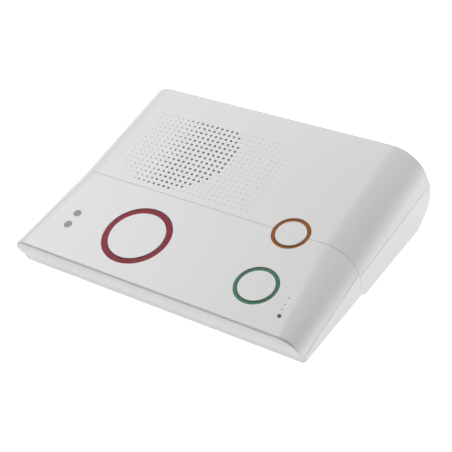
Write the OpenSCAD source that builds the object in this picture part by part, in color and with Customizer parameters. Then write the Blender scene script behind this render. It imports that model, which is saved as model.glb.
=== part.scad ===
// Medical alert base station: a low console with a sloping top, a loudspeaker grille
// and three push buttons inside coloured light rings. Millimetres, +Z up.
// The origin is on the table, under the middle of the console; +Y points to its rear.

/* [Housing] */
// Overall width
body_w = 192; // [184:1:206]
// Length of the top face along its slope, from the front edge to the rear edge
top_len = 145; // [143:1:156]
// Slope of the top face above the table, in degrees
top_slope = 12; // [11:0.5:13]
// Height of the front edge of the top face above the table
front_edge_z = 24.7; // [24.2:0.1:28]
// Radius that rolls the top face over into each side wall, from the seam to the rear
side_r = 19; // [17:0.5:21]
// The same radius at the front edge, from where it widens towards the seam
front_side_r = 11; // [9:0.5:15]
// Wall thickness of the covers and the bottom case
wall = 2.4; // [2:0.1:2.8]
// Undercut of the front face below the front edge, in degrees from vertical
front_rake = 23; // [19:1:25]
// How far the rear skirt stands out behind the rear edge of the top face
rear_flare = 12.2; // [10:0.2:14]

/* [Seams] */
// Distance along the slope from the front edge to the seam between the two covers
seam_v = 64; // [62.5:0.5:64.5]
// Height of the parting line at the front
front_part_z = 9.6; // [8.6:0.1:11.4]
// Rise of the front cover's parting line towards the rear, in degrees
front_part_rise = 11.3; // [9:0.1:12]
// Height of the parting line at the rear
rear_part_z = 25.4; // [25:0.1:27]
// Rise of the rear cover's parting line towards the rear, in degrees
rear_part_rise = 4.4; // [4:0.1:5]

/* [Bottom case] */
// Height of the rear half's underside above the table, which is how far the rear feet stand out
rear_clear = 1.2; // [1:0.1:1.6]
// How much higher the front half's underside sits than the rear half's
underside_step = 2.8; // [1.8:0.1:3.2]
// Radius at the bottom of the rear face
tail_r = 12; // [10:0.5:13]
// Angle of the ramp from the underside up to the rear face, in degrees
tail_ramp = 31; // [28:1:34]

/* [Grille] */
// Spacing of the grille holes both ways
grille_pitch = 3.6; // [3.5:0.05:3.7]
// Columns of grille holes
grille_cols = 27; // [21:1:27]
// Rows of grille holes
grille_rows = 16; // [12:1:16]
// Diameter of a full-sized grille hole
grille_d = 1.8; // [1.4:0.1:2]
// Diameter of the grille holes at the left, which grow to full size towards the middle
grille_small_d = 0.8; // [0.6:0.05:1.2]
// Columns at the left that all have the small size
grille_small_cols = 3; // [0:1:6]
// Columns over which the holes then grow
grille_grow_cols = 6; // [2:1:10]
// Diameter of the round field in which the grille holes go right through
sound_d = 72; // [60:1:74]
// Depth of the blind dimples outside that field
dimple_depth = 0.2; // [0.15:0.05:1]

/* [Buttons] */
// Outer diameter of the help button's light ring
help_ring_d = 41.4; // [38:0.2:43]
// Outer diameter of the green light ring
green_ring_d = 24.9; // [22:0.1:26]
// Outer diameter of the orange light ring
orange_ring_d = 22; // [20:0.1:23]
// Width of the help button's light ring
help_ring_w = 3.5; // [3:0.1:4]
// Width of the two small light rings
small_ring_w = 1.95; // [1.7:0.05:2.3]
// Travel of each button
button_travel = 1; // [0.6:0.1:1.2]
// Gap all round between a button cap and its light ring
button_gap = 0.3; // [0.2:0.05:0.4]

/* [Loudspeaker] */
// Diameter of the loudspeaker's mounting flange
speaker_d = 71.2; // [66:0.2:72]
// Depth of the loudspeaker behind its flange
speaker_depth = 24; // [22:1:25]

/* [Battery] */
// Length of the backup battery pack
battery_len = 68; // [64:1:70]
// Diameter of one battery cell
cell_d = 18.2; // [17:0.2:18.4]

/* [Rear bay] */
// Width of the bay that holds the sockets
bay_w = 78; // [74:1:79]
// Height of the bay above the table
bay_top = 20; // [19.6:0.1:20.6]

/* [Hidden] */
$fn = 64;

// Fits
fit_gap = 0.1;          // between parts that are assembled and stay put
slide_gap = 0.06;       // radial, round a plunger
screw_gap = 0.05;       // radial, round a screw in its hole
eps = 0.02;

// Overall
body_d = top_len * cos(top_slope) + rear_flare;
front_y = -body_d / 2;
rear_y = body_d / 2;
rear_edge_y = front_y + top_len * cos(top_slope);
rear_edge_z = front_edge_z + top_len * sin(top_slope);
half_w = body_w / 2;
reach = 260;            // longer than the console, for cutting solids
front_clear = rear_clear + underside_step;
front_floor = front_clear + wall;
rear_floor = rear_clear + wall;

// Seams
part_y = front_y + (front_edge_z - front_part_z) * tan(front_rake);
seam_gap = 0.1;
seam_groove = 0.4;      // depth of the line that continues the seam down the bottom case
strip_rake = 16;        // undercut of the bottom case's front strip
step_run = 3.6;         // length of the bevel between the two undersides
lip_t = 1.2;
lip_h = 2;

// Buttons, in the top face's own frame: across, along the slope, and below the face
help_at = [71.3 - half_w, 30.6];
green_at = [half_w - 38, 25.2];
orange_at = [half_w - 39.2, seam_v];
ring_recess = 0.5;
ring_base = 4;
ring_flange = 1.6;
cap_t = 2;
catch_drop = 0.3;       // gap between a cap's catch and the ring above it
catch_t = 0.9;
catch_w = 1;
catch_w_top = ring_base + catch_drop;
plunger_r = 1.6;
plunger_top = 5.6;
plunger_len = 2.6;
switch_w = 6.2;
switch_top = 6.8;
board_w_top = 10.2;     // depth of the button board's upper face
board_t = 1.6;
lamp_t = 1;

// Status windows and microphone
window_d = 4.6;
windows_at = [[26.8 - half_w, 22.5], [26.8 - half_w, 31.8]];
mic_at = [half_w - 16.6, 12.3];
mic_hole_d = 2.4;
mic_d = 6;
mic_h = 2.7;
boot_d = 7.8;
pinhole_d = 0.9;
pinhole_depth = 0.6;
pinholes_at = [[half_w - 17.3, 16.5], [half_w - 17.5, 19.9], [half_w - 17.7, 24.3]];

// Loudspeaker
speaker_at = [side_r - half_w + speaker_d / 2, top_len - 43.7];
grille_left = speaker_at[0] - 7.5 * grille_pitch;
grille_rear_v = speaker_at[1] + 6 * grille_pitch;
dimple_inset = 0.2;     // how much smaller a dimple's radius is than a hole's
gasket_t = 2;
flange_t = 1.2;
flange_w = wall + gasket_t;
magnet_d = 33;
magnet_t = 9;
boss_ring_r = speaker_d / 2 + 3.5;
clip_angles = [-10, 45, 135, 190];
screw_r = 1.1;
boss_r = 2.4;

// Button board, in the top face's frame
board_v0 = 8;
board_v1 = seam_v - 6;
board_x0 = 22 - half_w;
board_x1 = half_w - 20;
board_bosses = [[26 - half_w, 13], [26 - half_w, seam_v - 10],
  [help_at[0] + 38.7, seam_v - 10], [half_w - 24, 45]];

// Battery
pack_x0 = half_w - 22 - battery_len;
bay_air = 2;            // room round the pack in its bay
bat_skin = 2;
bat_x0 = pack_x0 - bay_air;
bat_x1 = pack_x0 + battery_len + bay_air;

// Main board, which ends in front of the socket bay and beside the battery
bay_depth = 14;
bay_wall_y = rear_y - bay_depth;      // outer face of the wall that the sockets look through
standoff_h = 2;
main_len = 58.2;
main_x0 = 15 - half_w;
main_x1 = bat_x0 - bat_skin - 4;
main_y1 = bay_wall_y - wall - 2.4;
main_y0 = main_y1 - main_len;
main_z = rear_floor + standoff_h;
main_top = main_z + board_t;
main_holes = [for (x = [main_x0 + 4, main_x1 - 6]) for (y = [main_y0 + 5, main_y0 + 44]) [x, y]];
step_rear_y = main_y0 - 4.3;          // where the rear half's underside begins

// Left end of something w wide that has this share of the board's free width to its left
function board_x(share, w) = main_x0 + share * (main_x1 - main_x0 - w);

// Housing screws
case_screw_x = half_w - 10;
case_screws_at = [for (y = [front_y + 39, rear_y - 47]) for (side = [-1, 1]) [side * case_screw_x, y]];
case_boss_r = 4.2;
case_screw_r = 1.5;
case_head_r = 3;
case_head_h = 2.2;
case_split = 12;        // height at which the lower and upper bosses meet
case_screw_len = 16;

// Keyholes under the front half
keyhole_pitch = 90;
keyhole_y = front_y + 33;
keyhole_head_r = 4.25;
keyhole_slot_r = 2.1;
keyhole_slot_len = 9;
keyhole_pocket = 5;

// Rear bay: the inlet, the two sockets and the switch share the board's free width
socket_w = 13.6;
socket_h = 11.6;
socket_depth = 17;
plug_w = 9.8;
plug_h = 6.8;
plug_depth = 12;
latch_w = 6;
latch_h = 2;
inlet_r = 4.6;
inlet_bore_r = 3.15;
inlet_pin_r = 1;
inlet_depth = 14;
inlet_bore = 10;
inlet_z = main_top + 5.6;
slider_w = 3.4;
slider_h = 3;
slider_travel = 3;
slider_z = main_top + 3.6;
switch_body_w = slider_w + slider_travel + 6;
row_room = main_x1 - main_x0 - 2 * inlet_r - 2 * socket_w - switch_body_w - 0.8;
inlet_x = main_x0 + 0.49 * row_room + inlet_r;
line_x = inlet_x + inlet_r + 0.18 * row_room + socket_w / 2;
phone_x = line_x + socket_w + 0.13 * row_room;
switch_x = phone_x + socket_w / 2 + 0.2 * row_room + switch_body_w / 2;
bay_x0 = inlet_x - 12;
bay_x1 = bay_x0 + bay_w;

// Battery bay and its door
pack_y = main_y0 + 27;
bat_y0 = pack_y - cell_d - bay_air - 2.6;
bat_y1 = pack_y + cell_d + bay_air + 2.6;
door_t = 2;
door_gap = 0.2;
door_rim = 3;
door_z = rear_clear + door_t;
pack_bottom = door_z + 0.1;
bat_roof = pack_bottom + cell_d + 0.5;
door_x0 = bat_x0 - door_rim;
door_x1 = bat_x1 + door_rim;
door_y0 = bat_y0 - door_rim;
door_y1 = bat_y1 + 7.6;
door_screw = [(bat_x0 + bat_x1) / 2, bat_y1 + 4.6];

// Feet
foot_r = 5;
foot_seat = 0.8;
feet_front = [for (side = [-1, 1]) [side * (half_w - 12), front_y + 21]];
feet_rear = [for (side = [-1, 1]) [side * (half_w - 10), rear_y - 25]];

// ---------- frames and envelopes ----------

// Puts what is drawn across, along and square to the top face in its place
module on_top() {
  translate([0, front_y, front_edge_z]) rotate([top_slope, 0, 0]) children();
}

// The same, centred on a point of the top face
module at_top(p) {
  on_top() translate([p[0], p[1], 0]) children();
}

// Extrudes an outline drawn in Y and Z right across the console
module across(w = reach) {
  translate([-w / 2, 0, 0]) rotate([90, 0, 90]) linear_extrude(w) children();
}

// Half of the plane: everything below a line through p at angle a
module below_line(p, a) {
  translate(p) rotate(a) translate([-reach, -2 * reach]) square(2 * reach);
}

// Roll-over radius of the front cover at a distance v along the slope, and half the flat's width there
side_grow = (side_r - front_side_r) / seam_v;
function side_r_at(v) = front_side_r + v * side_grow;
function flat_u(v) = half_w - side_r_at(v);

// Envelope of the front cover, shrunk by t: its roll-overs are cones that widen towards the seam
module front_bar(t) {
  near = -20;
  far = seam_v + 12;
  tip = (t - front_side_r) / side_grow;
  stretch = norm([1, side_grow, side_grow]);
  taper = side_grow / norm([1, side_grow]);
  on_top() {
    translate([0, 0, -reach]) linear_extrude(reach - t)
      polygon([[-flat_u(near), near], [flat_u(near), near], [flat_u(far), far], [-flat_u(far), far]]);
    translate([-half_w + t, 0, 0]) rotate([90, 0, 90]) linear_extrude(body_w - 2 * t)
      polygon([[near, -side_r_at(near)], [far, -side_r_at(far)], [far, -reach], [near, -reach]]);
    for (side = [-1, 1])
      translate([side * (half_w - t), tip, -t])
        rotate([0, acos(-side_grow / stretch), atan2(1, -side * side_grow)])
          translate([0, 0, (near - tip) * stretch])
            cylinder(r1 = (near - tip) * stretch * taper, r2 = (far - tip) * stretch * taper,
              h = (far - near) * stretch);
  }
}

// Space between the side walls' outer faces, shrunk by t
module between_sides(t) {
  translate([-half_w + t, -reach / 2, -1]) cube([body_w - 2 * t, reach, reach / 2]);
}

// The cross-section of the rear cover square to its slope, shrunk by t
module section_outline(t) {
  translate([-half_w + side_r, -reach]) square([body_w - 2 * side_r, reach - t]);
  translate([-half_w + t, -reach]) square([body_w - 2 * t, reach - side_r]);
  for (side = [-1, 1])
    translate([side * (half_w - side_r), -side_r]) circle(side_r - t);
}

// That cross-section drawn out along the slope from v0 to v1
module section_bar(t, v0 = -40, v1 = top_len + 60) {
  on_top() translate([0, v1, 0]) rotate([90, 0, 0]) linear_extrude(v1 - v0) section_outline(t);
}

// Side outline of the covers, shrunk by t: raked front and flared rear; the cross-section makes the top.
// The flare ends a little above the parting line, in an upright land.
flare_land = 0.8;
flare_drop = rear_edge_z - rear_part_z - flare_land;
flare_chord = norm([rear_flare, flare_drop]);
flare_turn = atan(rear_flare / flare_drop) - top_slope;
flare_r = flare_chord / (2 * sin(flare_turn));
module cover_outline(t) {
  difference() {
    intersection() {
      below_line([front_y, front_edge_z + 3], top_slope);
      below_line([front_y + t / cos(front_rake), front_edge_z], 90 + front_rake);
      translate([front_y - 5, 0]) square([body_d + 5 - t, 2 * front_edge_z + rear_edge_z]);
    }
    translate([rear_edge_y + flare_r * cos(top_slope), rear_edge_z + flare_r * sin(top_slope)])
      circle(flare_r + t, $fn = 180);
  }
}

// Height of each parting line at a given y
function front_line(y) = front_part_z + (y - part_y) * tan(front_part_rise);
function rear_line(y) = rear_part_z - (rear_y - y) * tan(rear_part_rise);

// Point of the seam at a given depth below the top face
function seam_y(w) = front_y + seam_v * cos(top_slope) + w * sin(top_slope);
function seam_z(w) = front_edge_z + seam_v * sin(top_slope) - w * cos(top_slope);

// Everything above the front cover's parting line, in front of the seam
module front_zone(rise = 0) {
  far = front_y - 20;
  polygon([[far, front_line(far) + rise], [seam_y(reach), front_line(seam_y(reach)) + rise],
    [seam_y(reach), reach], [far, reach]]);
}

// Everything above the rear cover's parting line
module rear_zone(rise = 0) {
  near = seam_y(-reach);
  polygon([[near, rear_line(near) + rise], [rear_y + 20, rear_line(rear_y + 20) + rise],
    [rear_y + 20, reach], [near, reach]]);
}

// Space in front of the seam plane, or behind it
module before_seam(v = seam_v - seam_gap / 2) {
  on_top() translate([-reach, v - 2 * reach, -reach]) cube([2 * reach, 2 * reach, 2 * reach]);
}
module behind_seam(v = seam_v + seam_gap / 2) {
  on_top() translate([-reach, v, -reach]) cube([2 * reach, 2 * reach, 2 * reach]);
}

// Everything under each cover's inner face
module under_front(t = wall) {
  intersection() {
    front_bar(t);
    across() cover_outline(t);
  }
}
module under_rear(t = wall) {
  intersection() {
    section_bar(t);
    across() cover_outline(t);
  }
}

// ---------- covers ----------

// Ring opening with a flat seat
module ring_hole(at, d) {
  at_top(at) translate([0, 0, -wall - 1]) cylinder(r = d / 2 + fit_gap, h = wall + 2);
}

// Boss that hangs from a cover, square to it, with a pilot hole
module hanging_boss(at, r, depth, hole_r) {
  difference() {
    at_top(at) translate([0, 0, -depth]) cylinder(r = r, h = depth - wall / 2);
    at_top(at) translate([0, 0, -depth - 1]) cylinder(r = hole_r, h = depth + 1.6 - wall);
  }
}

// Upright boss above the bottom case's boss, trimmed to the envelope of the cover it hangs from
module case_boss_top(at) {
  difference() {
    intersection() {
      translate([at[0], at[1], case_split]) cylinder(r = case_boss_r, h = reach / 4);
      children();
    }
    translate([at[0], at[1], case_split - 1])
      cylinder(r = case_screw_r + screw_gap, h = case_screw_len - case_split + front_clear + 4);
  }
}

// Tabs of the front cover that reach under the rear cover and line the two up
tab_t = 1.4;
tab_reach = 3;
tab_len = 32;
tab_right = orange_at[0] - orange_ring_d / 2 - ring_flange - 10.2;
tabs_at = [[side_r - 1 - half_w, 6], [tab_right - tab_len, tab_len]];
module alignment_tabs() {
  for (tab = tabs_at)
    on_top() translate([tab[0], seam_v - tab_reach, -wall - fit_gap - tab_t])
      cube([tab[1], 2 * tab_reach, tab_t]);
  for (tab = tabs_at)
    on_top() translate([tab[0], seam_v - tab_reach, -wall - fit_gap - eps])
      cube([tab[1], tab_reach, 2 * fit_gap]);
}

module front_cover() {
  color([0.87, 0.86, 0.86]) {
    difference() {
      intersection() {
        front_bar(0);
        across() intersection() {
          cover_outline(0);
          front_zone();
        }
        before_seam();
      }
      under_front();
      ring_hole(help_at, help_ring_d);
      ring_hole(green_at, green_ring_d);
      ring_hole(orange_at, orange_ring_d);
      for (p = windows_at)
        at_top(p) translate([0, 0, -wall - 1]) cylinder(r = window_d / 2 + fit_gap, h = wall + 2);
      at_top(mic_at) translate([0, 0, -2 * wall]) cylinder(r = mic_hole_d / 2, h = 3 * wall);
      for (p = pinholes_at)
        at_top(p) translate([0, 0, -pinhole_depth]) cylinder(r = pinhole_d / 2, h = 2 * pinhole_depth);
    }
    for (p = board_bosses) hanging_boss(p, boss_r + 0.4, board_w_top, screw_r + screw_gap);
    case_boss_top(case_screws_at[0]) under_front(wall - 0.6);
    case_boss_top(case_screws_at[1]) under_front(wall - 0.6);
    alignment_tabs();
  }
}

// Rows and columns of the grille, with the rows kept clear of the seam
grille_last = grille_cols - 1;
grille_row_v = [for (j = [0:grille_rows - 1]) if (grille_rear_v - (j + 1) * grille_pitch > seam_v)
  grille_rear_v - j * grille_pitch];
function column_u(i) = grille_left + i * grille_pitch;
function column_d(i) = grille_small_d
  + (grille_d - grille_small_d) * min(1, max(0, (i - grille_small_cols) / grille_grow_cols));
function in_sound(p) = norm(p - speaker_at) <= sound_d / 2 + eps;

module grille_cut() {
  on_top() translate([0, 0, -wall - 1]) linear_extrude(wall + 2)
    for (i = [0:grille_last]) for (v = grille_row_v) if (in_sound([column_u(i), v]))
      translate([column_u(i), v]) circle(column_d(i) / 2, $fn = 24);
  on_top() translate([0, 0, -dimple_depth]) linear_extrude(2 * dimple_depth)
    for (i = [0:grille_last]) for (v = grille_row_v) if (!in_sound([column_u(i), v]))
      translate([column_u(i), v]) circle(column_d(i) / 2 - dimple_inset, $fn = 24);
}

function clip_point(a) = speaker_at + boss_ring_r * [cos(a), sin(a)];

module rear_cover() {
  color([0.86, 0.86, 0.85]) {
    difference() {
      intersection() {
        section_bar(0);
        across() intersection() {
          cover_outline(0);
          rear_zone();
        }
        behind_seam();
      }
      under_rear();
      ring_hole(orange_at, orange_ring_d);
      grille_cut();
    }
    for (a = clip_angles) hanging_boss(clip_point(a), boss_r, flange_w + flange_t, screw_r + screw_gap);
    case_boss_top(case_screws_at[2]) under_rear(wall - 0.6);
    case_boss_top(case_screws_at[3]) under_rear(wall - 0.6);
  }
}

// ---------- bottom case ----------

// Side outline of the bottom case, shrunk by t
tail_c = [rear_y - tail_r, rear_clear + tail_r + 3.8];
tail_p = tail_c + tail_r * [sin(tail_ramp), -cos(tail_ramp)];
tail_foot_y = tail_p[0] - (tail_p[1] - rear_clear) / tan(tail_ramp);
module bottom_outline(t) {
  strip_y = part_y + (front_part_z - front_clear) * tan(strip_rake);
  turn = t * tan(tail_ramp / 2);
  intersection() {
    union() {
      polygon([
        [part_y + t / cos(strip_rake), front_part_z],
        [strip_y + t / cos(strip_rake) - t * tan(strip_rake), front_clear + t],
        [step_rear_y - step_run + t * 0.6, front_clear + t],
        [step_rear_y + t * 0.6, rear_clear + t],
        [tail_foot_y - turn, rear_clear + t],
        [tail_c[0] + (tail_r - t) * sin(tail_ramp), tail_c[1] - (tail_r - t) * cos(tail_ramp)],
        [rear_y - t, tail_c[1]],
        [rear_y - t, rear_part_z + 20],
        [part_y + t / cos(strip_rake), rear_part_z + 20]
      ]);
      translate(tail_c) circle(tail_r - t);
    }
    translate([front_y, 0]) square([body_d, 4 * front_edge_z]);
  }
}

// Everything below the parting lines
module below_parting(rise = 0) {
  difference() {
    translate([-reach / 2, -reach / 2, -1]) cube([reach, reach, reach / 2]);
    intersection() {
      across() front_zone(rise);
      before_seam(seam_v);
    }
    intersection() {
      across() rear_zone(rise);
      behind_seam(seam_v);
    }
  }
}

// Thin line down both sides of the bottom case, in the plane of the seam
module seam_line() {
  deep = seam_groove + 1;
  for (x = [-half_w - 1, half_w - seam_groove])
    on_top() translate([x, seam_v - seam_gap, -reach]) cube([deep, 2 * seam_gap, reach]);
}

// Band along each parting line, from lo below it to hi above it
lip_front_y = front_y + 24;
lip_rear_y = rear_y - 14;
module front_band(lo, hi) {
  y2 = seam_y(side_r) - 3;
  polygon([[lip_front_y, front_line(lip_front_y) - lo], [y2, front_line(y2) - lo],
    [y2, front_line(y2) + hi], [lip_front_y, front_line(lip_front_y) + hi]]);
}
module rear_band(lo, hi) {
  y1 = seam_y(side_r) + 3;
  polygon([[y1, rear_line(y1) - lo], [lip_rear_y, rear_line(lip_rear_y) - lo],
    [lip_rear_y, rear_line(lip_rear_y) + hi], [y1, rear_line(y1) + hi]]);
}

// Lip inside the side walls that the covers fit over
module side_lip() {
  lip_out = wall + fit_gap;
  difference() {
    union() {
      intersection() {
        front_bar(lip_out);
        across() front_band(3, lip_h);
      }
      intersection() {
        section_bar(lip_out);
        across() rear_band(3, lip_h);
      }
      intersection() {
        between_sides(wall - 0.8);
        across() {
          front_band(3, -0.2);
          rear_band(3, -0.2);
        }
      }
    }
    between_sides(lip_out + lip_t);
  }
}

module keyhole_outline(grow = 0) {
  circle(keyhole_head_r + grow);
  translate([-keyhole_slot_r - grow, 0]) square([2 * (keyhole_slot_r + grow), keyhole_slot_len]);
  translate([0, keyhole_slot_len]) circle(keyhole_slot_r + grow);
}

keyhole_room = 1.6;     // from the screw head to the pocket's walls, and the thickness of those walls
module keyhole_block(grow, z, h) {
  r = keyhole_head_r + grow;
  for (side = [-1, 1])
    translate([side * keyhole_pitch / 2 - r, keyhole_y - r, z]) cube([2 * r, keyhole_slot_len + 2 * r, h]);
}

module keyholes_body() {
  keyhole_block(2 * keyhole_room, front_clear, keyhole_pocket + wall + keyhole_room);
}

module keyholes_cut() {
  for (side = [-1, 1])
    translate([side * keyhole_pitch / 2, keyhole_y, 0]) linear_extrude(front_floor + 1) keyhole_outline();
  keyhole_block(keyhole_room, front_floor, keyhole_pocket);
}

module battery_bay_body() {
  translate([door_x0 - 1.6, main_y0 - 7, rear_clear])
    cube([door_x1 - door_x0 + 3.2, door_y1 - main_y0 + 9, front_floor - rear_clear]);
  translate([bat_x0 - bat_skin, bat_y0 - bat_skin, rear_clear])
    cube([bat_x1 - bat_x0 + 2 * bat_skin, bat_y1 - bat_y0 + 2 * bat_skin, bat_roof + bat_skin - rear_clear]);
  translate([door_screw[0], door_screw[1], rear_clear]) cylinder(r = 3.6, h = 9);
}

tab_w = 8;
door_tabs_x = [door_x0 + 16, door_x1 - 16];
module battery_bay_cut() {
  translate([bat_x0, bat_y0, 0]) cube([bat_x1 - bat_x0, bat_y1 - bat_y0, bat_roof]);
  translate([door_x0 - door_gap, door_y0 - door_gap, 0])
    cube([door_x1 - door_x0 + 2 * door_gap, door_y1 - door_y0 + 2 * door_gap, door_z]);
  for (x = door_tabs_x)
    translate([x - tab_w / 2 - door_gap, door_y0 - 3, door_z - eps])
      cube([tab_w + 2 * door_gap, 6, 1.6 + door_gap]);
  translate([door_screw[0], door_screw[1], 0]) cylinder(r = screw_r + screw_gap, h = rear_clear + 8);
  for (side = [-1, 1])
    translate([bat_x0 - bat_skin - 1, pack_y + side * lead_gap, lead_z]) rotate([0, 90, 0])
      cylinder(r = lead_r + 0.3, h = bat_skin + 2);
}

module socket_bay_body() {
  translate([bay_x0 - wall, bay_wall_y - wall, rear_clear])
    cube([bay_w + 2 * wall, rear_y - bay_wall_y + wall - eps, bay_top + wall - rear_clear]);
}

module socket_bay_cut() {
  translate([bay_x0, bay_wall_y, -1]) cube([bay_w, rear_y, bay_top + 1]);
  for (x = [line_x, phone_x])
    translate([x - socket_w / 2 - fit_gap, bay_wall_y - wall - 1, main_top - fit_gap])
      cube([socket_w + 2 * fit_gap, wall + 2, socket_h + 2 * fit_gap]);
  translate([inlet_x, bay_wall_y + 1, inlet_z]) rotate([90, 0, 0])
    cylinder(r = inlet_r + fit_gap, h = wall + 2);
  slot_x = switch_x - (slider_w + slider_travel) / 2 - 0.4;
  translate([slot_x, bay_wall_y - wall - 1, slider_z - slider_h / 2 - 0.3])
    cube([slider_w + slider_travel + 0.8, wall + 2, slider_h + 0.6]);
}

module bottom_case() {
  color([0.88, 0.88, 0.87]) difference() {
    union() {
      difference() {
        intersection() {
          between_sides(0);
          across() bottom_outline(0);
          below_parting();
        }
        intersection() {
          between_sides(wall);
          across() bottom_outline(wall);
        }
      }
      side_lip();
      intersection() {
        union() {
          battery_bay_body();
          socket_bay_body();
          keyholes_body();
          for (p = main_holes) translate([p[0], p[1], rear_clear]) cylinder(r = 3, h = main_z - rear_clear);
          for (p = case_screws_at) translate([p[0], p[1], 0]) cylinder(r = case_boss_r, h = case_split);
        }
        between_sides(1);
        across() bottom_outline(0);
        below_parting();
      }
    }
    battery_bay_cut();
    socket_bay_cut();
    keyholes_cut();
    seam_line();
    for (p = main_holes) translate([p[0], p[1], rear_clear + 0.8]) cylinder(r = screw_r + screw_gap, h = 20);
    for (p = case_screws_at) {
      translate([p[0], p[1], -1]) cylinder(r = case_screw_r + 0.3, h = case_split + 2);
      translate([p[0], p[1], -1]) cylinder(r = case_head_r + 0.3, h = front_clear + case_head_h + 2);
    }
    for (p = feet_front) translate([p[0], p[1], -1]) cylinder(r = foot_r, h = front_clear + foot_seat + 1);
    for (p = feet_rear) translate([p[0], p[1], -1]) cylinder(r = foot_r, h = rear_clear + foot_seat + 1);
  }
}

// ---------- buttons and light rings ----------

module light_ring(at, d, ring_w) {
  at_top(at) difference() {
    union() {
      translate([0, 0, -ring_base]) cylinder(r = d / 2, h = ring_base - ring_recess);
      translate([0, 0, -ring_base]) cylinder(r = d / 2 + ring_flange, h = ring_base - wall);
    }
    translate([0, 0, -ring_base - 1]) cylinder(r = d / 2 - ring_w, h = ring_base + 2);
  }
}

module button_cap(at, d, ring_w) {
  hole_r = d / 2 - ring_w;
  cap_r = hole_r - button_gap;
  at_top(at) {
    difference() {
      union() {
        translate([0, 0, -catch_w_top]) cylinder(r = cap_r, h = catch_w_top);
        translate([0, 0, -catch_w_top - catch_t]) cylinder(r = hole_r + catch_w, h = catch_t);
      }
      translate([0, 0, -catch_w_top - catch_t - 1])
        cylinder(r = cap_r - 1.5, h = catch_w_top + catch_t + 1 - cap_t);
    }
    translate([0, 0, -plunger_top]) cylinder(r = 2.5, h = plunger_top - cap_t / 2);
  }
}

module plunger(at) {
  at_top(at) translate([0, 0, -plunger_top - plunger_len]) cylinder(r = plunger_r, h = plunger_len);
}

module push_switch(at) {
  at_top(at) difference() {
    translate([-switch_w / 2, -switch_w / 2, -board_w_top])
      cube([switch_w, switch_w, board_w_top - switch_top]);
    translate([0, 0, -plunger_top - plunger_len - button_travel - 0.2])
      cylinder(r = plunger_r + slide_gap, h = plunger_len + button_travel + 2);
  }
}

module help_ring() { color([0.62, 0.16, 0.24]) light_ring(help_at, help_ring_d, help_ring_w); }
module green_ring() { color([0.25, 0.52, 0.37]) light_ring(green_at, green_ring_d, small_ring_w); }
module orange_ring() { color([0.63, 0.36, 0.12]) light_ring(orange_at, orange_ring_d, small_ring_w); }
module help_button() { color([0.89, 0.88, 0.88]) button_cap(help_at, help_ring_d, help_ring_w); }
module green_button() { color([0.89, 0.88, 0.88]) button_cap(green_at, green_ring_d, small_ring_w); }
module orange_button() { color([0.89, 0.88, 0.88]) button_cap(orange_at, orange_ring_d, small_ring_w); }
module help_plunger() { color([0.2, 0.2, 0.2]) plunger(help_at); }
module green_plunger() { color([0.2, 0.2, 0.2]) plunger(green_at); }
module orange_plunger() { color([0.2, 0.2, 0.2]) plunger(orange_at); }
module push_switches() {
  color([0.35, 0.35, 0.37]) for (at = [help_at, green_at, orange_at]) push_switch(at);
}

module ring_lamp_set(at, d, ring_w, count) {
  r = (d - ring_w) / 2;
  at_top(at) for (i = [0:count - 1])
    rotate(i * 360 / count + 180 / count) translate([r - 1, -1.5, -board_w_top]) cube([2, 3, lamp_t]);
}
module ring_lamps() {
  color([0.95, 0.93, 0.75]) {
    ring_lamp_set(help_at, help_ring_d, help_ring_w, 8);
    ring_lamp_set(green_at, green_ring_d, small_ring_w, 6);
    ring_lamp_set(orange_at, orange_ring_d, small_ring_w, 6);
  }
}

module status_windows() {
  color([0.6, 0.6, 0.6]) for (p = windows_at) at_top(p) {
    translate([0, 0, -ring_base]) cylinder(r = window_d / 2, h = ring_base - 0.1);
    translate([0, 0, -ring_base]) cylinder(r = window_d / 2 + 1, h = ring_base - wall);
  }
}

module status_lamps() {
  color([0.95, 0.93, 0.75]) for (p = windows_at)
    at_top(p) translate([-1, -1.5, -board_w_top]) cube([2, 3, lamp_t]);
}

module button_board() {
  color([0.1, 0.38, 0.2]) difference() {
    on_top() translate([0, 0, -board_w_top - board_t]) linear_extrude(board_t) {
      translate([board_x0, board_v0]) square([board_x1 - board_x0, board_v1 - board_v0]);
      translate([board_x1 - 6, board_v0]) square([mic_at[0] + boot_d / 2 + 0.7 - board_x1 + 6, 12]);
      translate([orange_at[0] - 15, board_v1 - 8]) square([30, orange_at[1] + 12 - board_v1 + 8]);
    }
    for (p = board_bosses)
      at_top(p) translate([0, 0, -board_w_top - board_t - 1]) cylinder(r = screw_r + 0.2, h = board_t + 2);
  }
}

module small_screw(length) {
  translate([0, 0, -1.4]) cylinder(r = 2.1, h = 1.4);
  translate([0, 0, -eps]) cylinder(r = screw_r, h = length + eps);
}

module button_board_screws() {
  color([0.7, 0.7, 0.72]) for (p = board_bosses)
    at_top(p) translate([0, 0, -board_w_top - board_t]) small_screw(7);
}

module microphone() {
  color([0.75, 0.75, 0.77]) at_top(mic_at)
    translate([0, 0, -board_w_top]) cylinder(r = mic_d / 2, h = mic_h);
}

module microphone_boot() {
  color([0.12, 0.12, 0.13]) difference() {
    intersection() {
      at_top(mic_at) translate([0, 0, -board_w_top]) cylinder(r = boot_d / 2, h = board_w_top);
      front_bar(wall);
    }
    at_top(mic_at) translate([0, 0, -board_w_top - 1]) cylinder(r = mic_d / 2 + fit_gap, h = mic_h + 1);
    at_top(mic_at) translate([0, 0, -board_w_top]) cylinder(r = mic_hole_d / 2, h = board_w_top);
  }
}

// ---------- loudspeaker ----------

module speaker_gasket() {
  color([0.15, 0.15, 0.15]) at_top(speaker_at) translate([0, 0, -flange_w]) difference() {
    cylinder(r = speaker_d / 2, h = gasket_t);
    translate([0, 0, -1]) cylinder(r = speaker_d / 2 - 2.5, h = gasket_t + 2);
  }
}

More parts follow.
